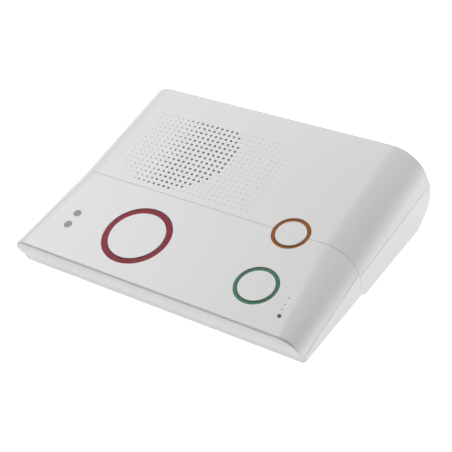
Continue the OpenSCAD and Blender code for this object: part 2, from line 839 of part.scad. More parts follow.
basket_w = flange_w + flange_t;
basket_end = flange_w + speaker_depth - magnet_t;
terminal_u = 9.6 - speaker_d / 2;
module speaker_basket() {
  outer = speaker_d / 2;
  color([0.3, 0.3, 0.32]) at_top(speaker_at) {
    rotate_extrude() polygon([
      [outer - 4, -flange_w], [outer, -flange_w], [outer, -basket_w], [outer - 2.5, -basket_w],
      [magnet_d / 2 + 1, -basket_end], [magnet_d / 4, -basket_end], [magnet_d / 4, -basket_end + 1],
      [magnet_d / 2 + 0.4, -basket_end + 1], [outer - 4, -basket_w + 0.4]]);
    translate([terminal_u - 4, -3, -basket_w - 6]) cube([5, 6, 2]);
  }
}

module speaker_cone() {
  rim = speaker_d / 2 - 2.7;
  color([0.13, 0.13, 0.13]) at_top(speaker_at) rotate_extrude() polygon([
    [0, -flange_w - 5.4], [6, -flange_w - 6.4], [10, -flange_w - 8.6], [rim - 6, -flange_w - 0.6],
    [rim - 3.5, -flange_w + 0.7], [rim - 1, -flange_w + 0.4], [rim, -flange_w + 0.4], [rim, -flange_w],
    [rim - 1.2, -flange_w], [rim - 3.5, -flange_w + 0.1], [rim - 5.8, -flange_w - 1.3],
    [10, -flange_w - 9.3], [6, -flange_w - 7], [0, -flange_w - 6]]);
}

module speaker_magnet() {
  color([0.25, 0.25, 0.27]) at_top(speaker_at) {
    translate([0, 0, -basket_end - 2]) cylinder(r = magnet_d / 2, h = 2);
    translate([0, 0, -basket_end - magnet_t + 2]) cylinder(r = magnet_d / 2 + 1, h = magnet_t - 4);
    translate([0, 0, -basket_end - magnet_t]) cylinder(r = magnet_d / 2, h = 2);
  }
}

clip_t = 1.2;
module speaker_clips() {
  reach_in = speaker_d / 2 - 2;
  color([0.72, 0.72, 0.74]) at_top(speaker_at) for (a = clip_angles) rotate(a) difference() {
    translate([reach_in, -3.5, -basket_w - clip_t]) cube([boss_ring_r + 3 - reach_in, 7, clip_t]);
    translate([boss_ring_r, 0, -basket_w - clip_t - 1]) cylinder(r = screw_r + 0.2, h = clip_t + 2);
  }
}

module speaker_screws() {
  color([0.7, 0.7, 0.72]) for (a = clip_angles)
    at_top(clip_point(a)) translate([0, 0, -basket_w - clip_t]) small_screw(clip_t + basket_w - wall - 1);
}

lead_r = 0.7;
lead_gap = 1.4;
module speaker_leads() {
  color([0.6, 0.1, 0.1]) intersection() {
    at_top(speaker_at) for (side = [-1, 1])
      translate([terminal_u - 2.5, side * lead_gap, -basket_w - 6 - 60]) cylinder(r = lead_r, h = 60);
    translate([-reach / 2, -reach / 2, main_top]) cube(reach);
  }
}

// ---------- boards ----------

module main_board() {
  color([0.1, 0.38, 0.2]) difference() {
    translate([main_x0, main_y0, main_z]) cube([main_x1 - main_x0, main_y1 - main_y0, board_t]);
    for (p = main_holes) translate([p[0], p[1], main_z - 1]) cylinder(r = screw_r + 0.2, h = board_t + 2);
  }
}

ribbon_w = 12;
ribbon_x = board_x(0.79, ribbon_w);
ribbon_t = 0.4;
chip = [16, 16, 1.6];
memory = [10, 8, 1.4];
crystal = [8, 6, 2];
relay = [9, 9, 4];
can_r = 2.5;
can_h = 5;
module board_components() {
  color([0.16, 0.16, 0.18]) translate([0, main_y0, main_top]) {
    translate([board_x(0.33, chip[0]), 22, 0]) cube(chip);
    translate([board_x(0.65, memory[0]), 12, 0]) cube(memory);
    translate([board_x(0.04, crystal[0]), 9.6, 0]) cube(crystal);
    translate([board_x(0.015, relay[0]), 17, 0]) cube(relay);
    for (share = [0.22, 0.34])
      translate([board_x(share, 2 * can_r) + can_r, 8, 0]) cylinder(r = can_r, h = can_h);
    translate([lead_x - lead_block_w, pack_y - main_y0 - 4, 0]) cube([lead_block_w, 8, 4.6]);
  }
}

lead_block_w = 5;
lead_x = main_x1 - 1;
lead_z = main_top + 2.3;
module battery_leads() {
  color([0.6, 0.1, 0.1]) for (side = [-1, 1])
    translate([lead_x, pack_y + side * lead_gap, lead_z]) rotate([0, 90, 0])
      cylinder(r = lead_r, h = pack_x0 - lead_x);
}

radio = [20, 16, 0.8];
radio_at = [board_x(0.83, radio[0]), main_y0 + 24];
shield = [14, 14, 2];
module radio_module() {
  color([0.78, 0.78, 0.8]) translate([radio_at[0], radio_at[1], main_top]) {
    cube(radio);
    translate([1, 1, radio[2]]) cube(shield);
  }
}

// Wire from the radio module along the main board, up beside the battery bay and over it
antenna_r = 0.6;
antenna_low = main_top + radio[2] + 4.2;
antenna_high = bat_roof + bat_skin + 3;
module antenna() {
  foot_x = radio_at[0] + radio[0] - 2;
  rise_x = main_x1 - 1;
  foot_z = main_top + radio[2];
  color([0.72, 0.45, 0.2]) translate([0, radio_at[1] + 8, 0]) {
    translate([foot_x, 0, foot_z]) cylinder(r = antenna_r, h = antenna_low - foot_z);
    translate([foot_x, 0, antenna_low]) sphere(antenna_r);
    translate([foot_x, 0, antenna_low]) rotate([0, 90, 0]) cylinder(r = antenna_r, h = rise_x - foot_x);
    translate([rise_x, 0, antenna_low]) sphere(antenna_r);
    translate([rise_x, 0, antenna_low]) cylinder(r = antenna_r, h = antenna_high - antenna_low);
    translate([rise_x, 0, antenna_high]) sphere(antenna_r);
    translate([rise_x, 0, antenna_high]) rotate([0, 90, 0])
      cylinder(r = antenna_r, h = pack_x0 + 54 - rise_x);
  }
}

module main_board_screws() {
  color([0.7, 0.7, 0.72]) for (p = main_holes)
    translate([p[0], p[1], main_top]) mirror([0, 0, 1]) small_screw(board_t + standoff_h - 0.2);
}

// Flat ribbon between the two boards: a thin strip along one smooth curve
link_v = board_v1 + 0.05;
link_a = [seam_y(board_w_top + board_t + 1.3) - (seam_v - link_v) * cos(top_slope),
  seam_z(board_w_top + board_t + 1.3) - (seam_v - link_v) * sin(top_slope)];
link_b = [main_y0 + 1.95, main_top + 1.3];
link_steps = 14;
function link_at(t) = pow(1 - t, 3) * link_a
  + 3 * t * pow(1 - t, 2) * (link_a + 9 * [cos(top_slope), sin(top_slope)])
  + 3 * t * t * (1 - t) * (link_b - [9, 0]) + pow(t, 3) * link_b;
function link_way(t) = link_at(min(t + 0.01, 1)) - link_at(max(t - 0.01, 0));
function link_side(t) = [-link_way(t)[1], link_way(t)[0]] / norm(link_way(t));
module ribbon_link() {
  color([0.8, 0.8, 0.78]) translate([ribbon_x, 0, 0]) rotate([90, 0, 90]) linear_extrude(ribbon_w)
    polygon(concat(
      [for (i = [0:link_steps]) link_at(i / link_steps) + link_side(i / link_steps) * ribbon_t / 2],
      [for (i = [link_steps:-1:0]) link_at(i / link_steps) - link_side(i / link_steps) * ribbon_t / 2]));
}

connector = [ribbon_w + 2, 5, 2.6];
module ribbon_connectors() {
  color([0.9, 0.88, 0.8]) {
    on_top() translate([ribbon_x - 1, board_v1 - connector[1], -board_w_top - board_t - connector[2]])
      cube(connector);
    translate([ribbon_x - 1, main_y0 + 2, main_top]) cube(connector);
  }
}

// ---------- battery ----------

module battery_pack() {
  z = pack_bottom + cell_d / 2;
  color([0.15, 0.3, 0.6]) {
    for (side = [-1, 1])
      translate([pack_x0, pack_y + side * (cell_d / 2 + 0.1), z]) rotate([0, 90, 0])
        cylinder(r = cell_d / 2, h = battery_len);
    translate([pack_x0, pack_y - cell_d / 2, pack_bottom]) cube([battery_len, cell_d, cell_d]);
  }
}

module battery_door() {
  color([0.87, 0.87, 0.86]) difference() {
    union() {
      translate([door_x0, door_y0, rear_clear]) cube([door_x1 - door_x0, door_y1 - door_y0, door_t]);
      for (x = door_tabs_x)
        translate([x - tab_w / 2, door_y0 - 2.6, door_z]) cube([tab_w, 5.4, 1.5]);
    }
    translate([door_screw[0], door_screw[1], 0]) cylinder(r = screw_r + 0.3, h = 10);
    translate([door_screw[0], door_screw[1], 0]) cylinder(r = 2.4, h = rear_clear + 1.1);
  }
}

module battery_door_screw() {
  color([0.7, 0.7, 0.72]) translate([door_screw[0], door_screw[1], rear_clear + 1.1]) {
    translate([0, 0, -1]) cylinder(r = 2.1, h = 1);
    translate([0, 0, -eps]) cylinder(r = screw_r, h = 6);
  }
}

// ---------- sockets and switch ----------

module modular_socket(x) {
  translate([x, bay_wall_y, main_top]) difference() {
    translate([-socket_w / 2, -socket_depth, 0]) cube([socket_w, socket_depth, socket_h]);
    translate([-plug_w / 2, -plug_depth, 1.4]) cube([plug_w, plug_depth + 1, plug_h]);
    translate([-latch_w / 2, -plug_depth, 1.4 + plug_h - eps]) cube([latch_w, plug_depth + 1, latch_h]);
  }
}
module line_socket() { color([0.2, 0.2, 0.22]) modular_socket(line_x); }
module phone_socket() { color([0.2, 0.2, 0.22]) modular_socket(phone_x); }

module power_inlet() {
  color([0.12, 0.12, 0.13]) translate([inlet_x, bay_wall_y, 0]) {
    difference() {
      union() {
        translate([-inlet_r, -inlet_depth, main_top])
          cube([2 * inlet_r, inlet_depth - wall - fit_gap, 2 * (inlet_z - main_top)]);
        translate([0, 0, inlet_z]) rotate([90, 0, 0]) cylinder(r = inlet_r, h = inlet_depth - 1);
      }
      translate([0, 1, inlet_z]) rotate([90, 0, 0]) cylinder(r = inlet_bore_r, h = inlet_bore + 1);
    }
    translate([0, -1, inlet_z]) rotate([90, 0, 0]) cylinder(r = inlet_pin_r, h = inlet_bore);
  }
}

switch_body_y = bay_wall_y - wall - 1.4;
module power_switch() {
  color([0.2, 0.2, 0.22]) translate([switch_x, switch_body_y, 0]) difference() {
    translate([-switch_body_w / 2, -6, main_top]) cube([switch_body_w, 6, 7]);
    translate([-slider_w / 2 - slider_travel / 2 - 0.3, -3.3, slider_z - slider_h / 2 - 0.2])
      cube([slider_w + slider_travel + 0.6, 5, slider_h + 0.4]);
  }
}

module power_slider() {
  left = switch_x - (slider_w + slider_travel) / 2;
  color([0.9, 0.9, 0.9]) translate([left, switch_body_y - 3, slider_z - slider_h / 2])
    cube([slider_w, 3 + bay_wall_y - switch_body_y + 1.4, slider_h]);
}

// ---------- feet and housing screws ----------

module rubber_feet() {
  color([0.25, 0.25, 0.26]) {
    for (p = feet_front) translate([p[0], p[1], 0]) cylinder(r = foot_r, h = front_clear + foot_seat);
    for (p = feet_rear) translate([p[0], p[1], 0]) cylinder(r = foot_r, h = rear_clear + foot_seat);
  }
}

module housing_screws() {
  z = front_clear + case_head_h + 1;
  color([0.7, 0.7, 0.72]) for (p = case_screws_at) translate([p[0], p[1], z]) {
    translate([0, 0, -case_head_h]) cylinder(r = case_head_r, h = case_head_h);
    translate([0, 0, -eps]) cylinder(r = case_screw_r, h = case_screw_len - 6);
  }
}

front_cover();
rear_cover();
bottom_case();
help_ring();
green_ring();
orange_ring();
help_button();
green_button();
orange_button();
help_plunger();
green_plunger();
orange_plunger();
push_switches();
status_windows();
status_lamps();
ring_lamps();
button_board();
button_board_screws();
microphone();
microphone_boot();
speaker_gasket();
speaker_basket();
speaker_cone();
speaker_magnet();
speaker_clips();
speaker_screws();
speaker_leads();
main_board();
board_components();
radio_module();
antenna();
main_board_screws();
ribbon_link();
ribbon_connectors();
battery_pack();
battery_leads();
battery_door();
battery_door_screw();
power_inlet();
line_socket();
phone_socket();
power_switch();
power_slider();
rubber_feet();
housing_screws();
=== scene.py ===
import math

import bmesh
import bpy
from mathutils import Matrix, Vector, geometry


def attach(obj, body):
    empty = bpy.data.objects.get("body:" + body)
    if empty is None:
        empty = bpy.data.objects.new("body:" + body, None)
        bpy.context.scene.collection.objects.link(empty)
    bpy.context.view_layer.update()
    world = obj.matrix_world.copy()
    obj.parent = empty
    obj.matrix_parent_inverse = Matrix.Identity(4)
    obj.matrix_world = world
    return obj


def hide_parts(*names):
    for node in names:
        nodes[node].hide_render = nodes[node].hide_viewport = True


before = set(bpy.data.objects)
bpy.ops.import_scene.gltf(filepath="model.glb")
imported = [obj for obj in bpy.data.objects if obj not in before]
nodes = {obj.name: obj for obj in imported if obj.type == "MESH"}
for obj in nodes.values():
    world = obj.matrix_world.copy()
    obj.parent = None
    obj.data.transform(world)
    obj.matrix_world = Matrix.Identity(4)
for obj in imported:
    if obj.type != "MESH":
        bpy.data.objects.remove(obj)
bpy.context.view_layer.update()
mm = 0.001
weldWithin = 0.002 * mm


# a shader socket that can be used in sums
class Wire:
    def __init__(self, shader, socket):
        self.shader, self.socket = shader, socket

    def math(self, operation, *values):
        return self.shader.add("ShaderNodeMath", {"operation": operation}, *values)

    def __add__(self, other):
        return self.math("ADD", self, other)

    def __radd__(self, other):
        return self.math("ADD", other, self)

    def __sub__(self, other):
        return self.math("SUBTRACT", self, other)

    def __rsub__(self, other):
        return self.math("SUBTRACT", other, self)

    def __mul__(self, other):
        return self.math("MULTIPLY", self, other)

    def __rmul__(self, other):
        return self.math("MULTIPLY", other, self)

    def smooth(self, low, high):
        return self.shader.add("ShaderNodeMapRange", {"interpolation_type": "SMOOTHSTEP"},
                               Value=self, **{"From Min": low, "From Max": high})


class Shader:
    def __init__(self, name):
        self.material = bpy.data.materials.new(name)
        self.material.use_nodes = True
        self.tree = self.material.node_tree
        self.tree.nodes.clear()
        self.output = self.tree.nodes.new("ShaderNodeOutputMaterial")

    # one node: its settings first, then the values or links of its sockets
    def add(self, kind, settings=None, *values, pick=0, **named):
        node = self.tree.nodes.new(kind)
        for key, value in (settings or {}).items():
            setattr(node, key, value)
        for key, value in [*enumerate(values), *named.items()]:
            self.feed(node.inputs[key], value)
        return Wire(self, node.outputs[pick])

    def feed(self, socket, value):
        if isinstance(value, Wire):
            self.tree.links.new(value.socket, socket)
        elif value is not None:
            socket.default_value = value

    def mix(self, factor, first, second):
        node = self.tree.nodes.new("ShaderNodeMix")
        node.data_type = "RGBA"
        for name, value in (("Factor_Float", factor), ("A_Color", first), ("B_Color", second)):
            socket = next(s for s in node.inputs if s.identifier == name)
            if not isinstance(value, (Wire, float, int)):
                value = (*value, 1)
            self.feed(socket, value)
        return Wire(self, next(s for s in node.outputs if s.identifier == "Result_Color"))

    def place(self):
        return self.add("ShaderNodeTexCoord", pick=3)

    def noise(self, scale, detail=2.0, roughness=0.5, stretch=None):
        where = self.place()
        if stretch:
            where = self.add("ShaderNodeVectorMath", {"operation": "MULTIPLY"}, where, stretch)
        return self.add("ShaderNodeTexNoise", None, Vector=where, Scale=scale, Detail=detail,
                        Roughness=roughness)

    def bump(self, height, distance):
        return self.add("ShaderNodeBump", None, Height=height, Distance=distance, Strength=1.0)

    def finish(self, **sockets):
        node = self.tree.nodes.new("ShaderNodeBsdfPrincipled")
        for key, value in sockets.items():
            name = key.replace("_", " ")
            if name.endswith("Color") and not isinstance(value, Wire):
                value = (*value, 1)
            self.feed(node.inputs[name], value)
        self.tree.links.new(node.outputs[0], self.output.inputs["Surface"])
        return self.material


# where the photograph was taken from; lens and sensor width in millimetres
view = {
    "at": (0.3149, -0.4067, 0.3862),
    "right": (0.8282, 0.5529, -0.0914),
    "up": (-0.2652, 0.5304, 0.8053),
    "lens": 86.35, "sensor": 36,
}
camData = bpy.data.cameras.new("camera")
camData.lens = view["lens"]
camData.sensor_width = view["sensor"]
camera = bpy.data.objects.new("camera", camData)
right = Vector(view["right"]).normalized()
up = (Vector(view["up"]) - right * right.dot(Vector(view["up"]))).normalized()
back = right.cross(up)
camera.matrix_world = Matrix.Translation(view["at"]) @ Matrix((right, up, back)).transposed().to_4x4()
bpy.context.collection.objects.link(camera)
bpy.context.scene.camera = camera
print("camera placed")


def tinted(colour, gain):
    return [min(1, c * gain) for c in colour]


# plastic with a fine grain and a faint cloud; the shade wanders by the spread to either side
def mouldedPlastic(name, colour, grain=0.00002, rough=0.42, spread=0.012, shine=0.5):
    s = Shader(name)
    cloud = s.noise(9, 3)
    fine = s.noise(1400, 2, 0.6)
    shade = s.mix(cloud.smooth(0.3, 0.7), tinted(colour, 1 - spread), tinted(colour, 1 + spread))
    roughness = rough + (cloud - 0.5) * 0.08 + (fine - 0.5) * 0.06
    return s.finish(Base_Color=shade, Roughness=roughness, Normal=s.bump(fine, grain), IOR=1.49,
                    Specular_IOR_Level=shine)


# tinted plastic that carries light: cloudy, a little deeper in places
def lightGuide(name, colour):
    s = Shader(name)
    haze = s.noise(45, 3)
    shade = s.mix(haze.smooth(0.3, 0.7), tinted(colour, 0.86), tinted(colour, 1.12))
    return s.finish(Base_Color=shade, Roughness=0.36 + (haze - 0.5) * 0.12,
                    Normal=s.bump(s.noise(700, 2), 0.000012), IOR=1.49, Specular_IOR_Level=0.08)


# dull rubber with pores and a trace of dust
def rubber(name, shade, rough):
    s = Shader(name)
    dust = s.noise(60, 4)
    pores = s.noise(2600, 2, 0.7)
    colour = s.mix(dust.smooth(0.45, 0.75), [shade] * 3, [shade * 1.5 + 0.01] * 3)
    return s.finish(Base_Color=colour, Roughness=rough + (pores - 0.5) * 0.2, Normal=s.bump(pores, 0.00006),
                    Specular_IOR_Level=0.3)


# green mask over copper tracks, with bare pads
def circuitBoard(name):
    s = Shader(name)
    tracks = s.add("ShaderNodeTexBrick", {"offset": 0.5}, pick=1, Vector=s.place(), Scale=70,
                   **{"Mortar Size": 0.03, "Mortar Smooth": 0.1, "Brick Width": 0.9, "Row Height": 0.35})
    pads = 1 - s.add("ShaderNodeTexVoronoi", None, Vector=s.place(), Scale=260).smooth(0.12, 0.2)
    mask = s.mix(tracks, (0.012, 0.12, 0.05), (0.03, 0.24, 0.1))
    return s.finish(Base_Color=s.mix(pads, mask, (0.62, 0.56, 0.36)), Roughness=0.3 + pads * 0.15,
                    Metallic=pads * 0.9, Normal=s.bump(tracks + pads, 0.00003), Specular_IOR_Level=0.5)


# metal with fine drawn lines and a thin dull film
def worked(name, colour, rough=0.3, lines=(1, 1, 14)):
    s = Shader(name)
    drawn = s.noise(260, 3, 0.6, lines)
    film = s.noise(50, 3)
    shade = s.mix(film.smooth(0.4, 0.7), colour, tinted(colour, 0.8))
    roughness = rough + (drawn - 0.5) * 0.2 + (film - 0.5) * 0.1
    return s.finish(Base_Color=shade, Metallic=1.0, Roughness=roughness, Normal=s.bump(drawn, 0.00001))


# paper with short fibres
def pressedPaper(name, shade):
    s = Shader(name)
    fibre = s.noise(900, 4, 0.7, (1, 1, 3))
    colour = s.mix(fibre.smooth(0.35, 0.7), [shade * 0.7] * 3, [shade * 1.6] * 3)
    return s.finish(Base_Color=colour, Roughness=0.85, Normal=s.bump(fibre, 0.00008),
                    Specular_IOR_Level=0.2)


# bands across: a flat cable's cores, or the shrunk sleeve of the cells
def banded(name, first, second, scale, rough):
    s = Shader(name)
    bands = s.add("ShaderNodeTexWave", {"bands_direction": "X"}, Vector=s.place(), Scale=scale,
                  Distortion=0.2)
    cloud = s.noise(80, 3)
    shade = s.mix(bands.smooth(0.2, 0.6) * (0.9 + cloud * 0.1), first, second)
    return s.finish(Base_Color=shade, Roughness=rough + (cloud - 0.5) * 0.15, Normal=s.bump(bands, 0.00005))


finishes = {
    "front": mouldedPlastic("satinFront", (0.70, 0.692, 0.692)),
    "rear": mouldedPlastic("satinRear", (0.70, 0.692, 0.692)),
    # lower case: its grain and roughness are its own, but its tone, lighter than the covers, is painted
    # light for the light its strip and sides catch
    "case": mouldedPlastic("texturedCasePaintedLight", (0.765, 0.76, 0.755), 0.00004, 0.5),
    "red": lightGuide("redGuide", (0.24, 0.018, 0.037)),
    "green": lightGuide("greenGuide", (0.062, 0.2, 0.115)),
    "orange": lightGuide("orangeGuide", (0.31, 0.1, 0.017)),
    "window": lightGuide("smokedWindow", (0.3, 0.3, 0.31)),
    "dark": mouldedPlastic("darkPlastic", (0.03, 0.03, 0.033), 0.00003, 0.45, 0.08),
    "chip": mouldedPlastic("chipResin", (0.022, 0.022, 0.025), 0.00005, 0.6, 0.15, 0.3),
    "white": mouldedPlastic("whitePlastic", (0.78, 0.78, 0.77), 0.00002, 0.4),
    "lamp": mouldedPlastic("lampResin", (0.85, 0.8, 0.55), 0.00001, 0.2),
    "board": circuitBoard("solderMask"),
    "zinc": worked("zincPlate", (0.62, 0.62, 0.64)),
    "iron": worked("magnetPlate", (0.2, 0.2, 0.21), 0.5, (1, 1, 1)),
    "brass": worked("drawnBrass", (0.62, 0.43, 0.18), 0.25, (14, 1, 1)),
    "softBlack": rubber("blackRubber", 0.02, 0.85),
    "softGrey": rubber("greyRubber", 0.09, 0.75),
    "paper": pressedPaper("conePaper", 0.03),
    "red lead": mouldedPlastic("redLead", (0.42, 0.02, 0.02), 0.00002, 0.4, 0.05),
    "ribbon": banded("flatCable", (0.72, 0.71, 0.66), (0.5, 0.49, 0.45), 314, 0.45),
    "sleeve": banded("cellSleeve", (0.03, 0.12, 0.36), (0.05, 0.17, 0.45), 40, 0.3),
}
wearing = {
    "front": ["front_cover", "help_button", "green_button", "orange_button"],
    "rear": ["rear_cover"],
    "case": ["bottom_case", "battery_door"],
    "red": ["help_ring"],
    "green": ["green_ring"],
    "orange": ["orange_ring"],
    "window": ["status_windows"],
    "dark": ["help_plunger", "green_plunger", "orange_plunger", "push_switches", "speaker_basket",
             "line_socket", "phone_socket", "power_switch", "power_inlet"],
    "chip": ["board_components"],
    "white": ["power_slider"],
    "lamp": ["status_lamps", "ring_lamps"],
    "board": ["button_board", "main_board"],
    "zinc": ["button_board_screws", "speaker_clips", "speaker_screws", "main_board_screws",
             "battery_door_screw", "housing_screws", "microphone", "radio_module"],
    "iron": ["speaker_magnet"],
    "brass": ["antenna"],
    "softBlack": ["microphone_boot", "speaker_gasket"],
    "softGrey": ["rubber_feet"],
    "paper": ["speaker_cone"],
    "red lead": ["speaker_leads", "battery_leads"],
    "ribbon": ["ribbon_link", "ribbon_connectors"],
    "sleeve": ["battery_pack"],
}
dressed = {n: finish for finish, names in wearing.items() for n in names}
for name, obj in nodes.items():
    obj.data.materials.clear()
    obj.data.materials.append(finishes[dressed[name]])


# softens an object's sharp edges without touching its mesh: width in millimetres, angle in degrees
def softened(obj, width, angle):
    obj.modifiers.new("weld", "WELD").merge_threshold = weldWithin
    bevel = obj.modifiers.new("edges", "BEVEL")
    bevel.width, bevel.segments = width * mm, 2
    bevel.limit_method, bevel.angle_limit = "ANGLE", math.radians(angle)
    return bevel


soft = {
    "nodes": ["battery_door", "power_slider", "line_socket", "phone_socket", "power_switch",
              "speaker_clips"],
    "width": 0.15, "angle": 32,
}
for name in soft["nodes"]:
    softened(nodes[name], soft["width"], soft["angle"]).harden_normals = True
print("nodes dressed")


# the housing, given across, along and square to its sloping top, in millimetres
housing = {
    "width": 192, "topLength": 145, "slope": 12, "frontEdge": 24.7, "sideRound": 19, "frontSideRound": 11,
    "wall": 2.4, "seam": 64, "seamGap": 0.1, "frontRake": 23, "flare": 12.2, "land": 0.8,
    "frontPart": (9.6, 11.3), "rearPart": (25.4, 4.4),
    "creaseRound": 1.2, "frontBulge": 0.5, "rearRound": 0.7, "edgeRound": 0.14, "partRound": 0.3,
    "partGap": 0.2, "ringGap": 0.1,
}
sinTop, cosTop = math.sin(math.radians(housing["slope"])), math.cos(math.radians(housing["slope"]))
depth = housing["topLength"] * cosTop + housing["flare"]
# roll-over radius of each cover: at the front edge, and its gain with every millimetre up the slope
grows = (housing["sideRound"] - housing["frontSideRound"]) / housing["seam"]
rounds = {
    "front": (housing["frontSideRound"], grows),
    "rear": (housing["sideRound"], 0),
}
rearEdgeZ = housing["frontEdge"] + housing["topLength"] * sinTop


# a point given on the sloping top, in metres in the frame; and a direction turned the same way
def fromTop(p):
    return Vector((p[0], -depth / 2 + p[1] * cosTop - p[2] * sinTop,
                   housing["frontEdge"] + p[1] * sinTop + p[2] * cosTop)) * mm


def turned(n):
    return Vector((n[0], n[1] * cosTop - n[2] * sinTop, n[1] * sinTop + n[2] * cosTop))


ringCount, smallCount, pinCount, grilleCount = 96, 32, 20, 16     # points round each kind of circle


# points round a full turn
def around(count):
    turns = [2 * math.pi * i / count for i in range(count)]
    return [(math.cos(a), math.sin(a)) for a in turns]


# a quarter turn in equal steps, as (cosine, sine)
def quarter(steps):
    turns = [math.pi / 2 * k / steps for k in range(steps + 1)]
    return [(math.cos(a), math.sin(a)) for a in turns]


# the way from one unit direction to another, at share t of the turn between them
def between(first, second, t):
    turn = first.angle(second)
    return (first * math.sin((1 - t) * turn) + second * math.sin(t * turn)) / math.sin(turn)


# collects points, faces and the normals of their corners
class Skin:
    def __init__(self):
        self.points, self.index, self.faces, self.normals = [], {}, [], []

    def corner(self, p):
        key = (round(p[0], 4), round(p[1], 4), round(p[2], 4))
        if key not in self.index:
            self.index[key] = len(self.points)
            self.points.append(Vector(p))
        return self.index[key]

    def face(self, corners, normals):
        ids, kept = [], []
        for p, n in zip(corners, normals):
            i = self.corner(p)
            if i not in ids:
                ids.append(i)
                kept.append(Vector(n))
        if len(ids) < 3:
            return
        way = Vector()
        for a, b in zip(ids, ids[1:] + ids[:1]):
            way += self.points[a].cross(self.points[b])
        if way.dot(sum(kept, Vector())) < 0:
            ids.reverse()
            kept.reverse()
        self.faces.append(ids)
        self.normals.extend(kept)

    # rows of (point, normal); neighbouring rows are joined by quads
    def grid(self, rows, closed=False):
        for first, second in zip(rows, rows[1:]):
            count = len(first)
            for i in range(count if closed else count - 1):
                j = (i + 1) % count
                four = (first[i], first[j], second[j], second[i])
                self.face([f[0] for f in four], [f[1] for f in four])

    # the flat field with holes, given by outlines across and along
    def field(self, outline, holes):
        spots, links, owner = [], [], []
        for number, loop in enumerate((outline, *holes)):
            start = len(spots)
            spots += [Vector(p) for p in loop]
            owner += [number] * len(loop)
            links += [(start + i, start + (i + 1) % len(loop)) for i in range(len(loop))]
        flat, _, faces, origins, *_ = geometry.delaunay_2d_cdt(spots, links, [], 1, 1e-6)
        for f in faces:
            # a triangle with all its corners on one hole's loop would fill that hole
            loops = {owner[origins[i][0]] for i in f}
            if len(loops) > 1 or 0 in loops:
                self.face([(*flat[i], 0) for i in f], [(0, 0, 1)] * len(f))

    # rolls an edge over and folds it in: each entry is (point, normal, the way out past the edge)
    def rim(self, path, edge, fold, closed=False):
        path = [(Vector(p), Vector(n), Vector(d)) for p, n, d in path]
        rows = []
        for c, s in quarter(3):
            rows.append([(p + d * edge * s - n * edge * (1 - c), n * c + d * s) for p, n, d in path])
        self.grid(rows, closed)
        self.grid([[(p, d) for (p, _), (_, _, d) in zip(rows[-1], path)],
                   [(p + d * edge - n * fold, d) for p, n, d in path]], closed)

    # round hole in the top: rolled lip, wall, and a floor if blind; gives the loop the field leaves open
    def hole(self, centre, radius, edge, down, count, blind=False):
        cx, cy = centre
        ring = around(count)
        rows = []
        for flat, steep in quarter(3):
            r, w = radius + edge * (1 - steep), -edge * (1 - flat)
            rows.append([((cx + c * r, cy + s * r, w), (-c * steep, -s * steep, flat)) for c, s in ring])
        self.grid(rows, True)
        wallTop = [(p, (-c, -s, 0)) for (p, _), (c, s) in zip(rows[-1], ring)]
        wallEnd = [((cx + c * radius, cy + s * radius, -down), (-c, -s, 0)) for c, s in ring]
        self.grid([wallTop, wallEnd], True)
        if blind:
            self.face([p for p, _ in wallEnd], [(0, 0, 1)] * count)
        out = radius + edge
        return [(cx + c * out, cy + s * out) for c, s in ring]

    def build(self, name, material, body, replaces):
        mesh = bpy.data.meshes.new(name)
        mesh.from_pydata([fromTop(p) for p in self.points], [], self.faces)
        mesh.polygons.foreach_set("use_smooth", [True] * len(mesh.polygons))
        mesh.normals_split_custom_set([turned(n).normalized() for n in self.normals])
        mesh.materials.append(material)
        obj = bpy.data.objects.new(name, mesh)
        bpy.context.collection.objects.link(obj)
        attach(obj, body)
        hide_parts(*replaces)
        print(name, len(self.faces), "faces")
        return obj


# square to the way from a to b, to its left
def square(a, b):
    return Vector((-(b - a).y, (b - a).x)).normalized()


# a turned piece: outline of (radius, depth) from the axis outwards, with the rounding of a corner third
def turnedRows(outline, steps=4):
    ends = [Vector(spot[:2]) for spot in outline]
    rows = [(ends[0], square(ends[0], ends[1]))]
    for before, here, after, (_, _, *rounding) in zip(ends, ends[1:], ends[2:], outline[1:]):
        n1, n2 = square(before, here), square(here, after)
        if not rounding:
            rows += [(here, n1), (here, n2)]
            continue
        back, onward = (before - here).normalized(), (after - here).normalized()
        half = back.angle(onward) / 2
        # no corner takes more than 0.45 of the shorter side beside it
        most = 0.45 * math.tan(half) * min((before - here).length, (after - here).length)
        size = min(rounding[0], most)
        centre = here + (back + onward).normalized() * size / math.sin(half)
        out = -1 if n1.dot(centre - here) > 0 else 1
        for k in range(steps + 1):
            n = between(n1, n2, k / steps)
            rows.append((centre + n * size * out, n))
    return rows + [(ends[-1], square(ends[-2], ends[-1]))]


def turnedPiece(name, at, outline, material, body, replaces):
    skin = Skin()
    rows = []
    for (r, w), n in turnedRows(outline):
        rows.append([((at[0] + c * r, at[1] + s * r, w), (c * n.x, s * n.x, n.y))
                     for c, s in around(ringCount)])
    skin.grid(rows, True)
    return skin.build(name, material, body, replaces)


# point and outward normal at q round the side: degrees up to 90, then millimetres down the wall
def sideAt(q, side, v, rounding):
    start, gain = rounding
    r = start + gain * v
    flat = housing["width"] / 2 - r
    if q <= 90:
        a = math.radians(q)
        lean = gain * (math.sin(a) + math.cos(a) - 1)
        normal = Vector((side * math.sin(a), lean, math.cos(a))).normalized()
        return side * (flat + r * math.sin(a)), -r + r * math.cos(a), normal
    return side * (flat + r), -r - (q - 90), Vector((side, 0, 0))


# parting plane as w = start + grade * v
def partingLine(height, rise, y):
    t = math.tan(math.radians(rise))
    down = cosTop + sinTop * t
    return (height - housing["frontEdge"] + (-depth / 2 - y) * t) / down, (cosTop * t - sinTop) / down


